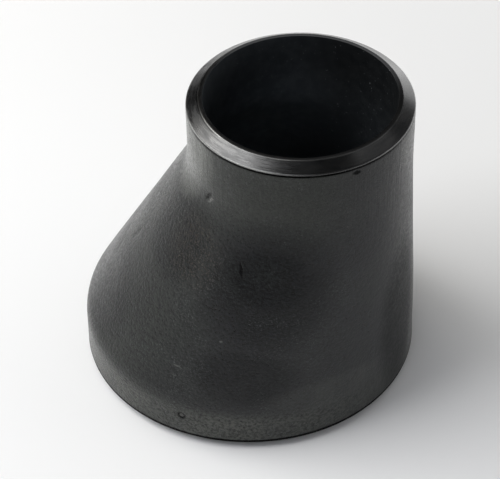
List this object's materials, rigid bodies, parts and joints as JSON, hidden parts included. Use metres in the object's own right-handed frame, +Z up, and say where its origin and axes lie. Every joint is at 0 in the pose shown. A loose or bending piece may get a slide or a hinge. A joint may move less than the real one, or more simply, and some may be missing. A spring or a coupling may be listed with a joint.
{
  "type": "eccentric pipe reducer",
  "caption": "Eccentric butt-weld steel pipe reducer with one straight side, a wide lower end, a narrow upper end and bevelled rims, painted black.",
  "frame": {"origin": "centre of the large end's face, on which the part stands", "axes": "+Z up to the small end, +X towards the flat side that runs straight from end to end"},
  "size_m": [0.089, 0.089, 0.089],
  "materials": {
    "black_paint": "semi-matte black paint over lightly scaled steel"
  },
  "bodies": {
    "root": {"reducer_body": "black_paint"}
  },
  "joints": []
}
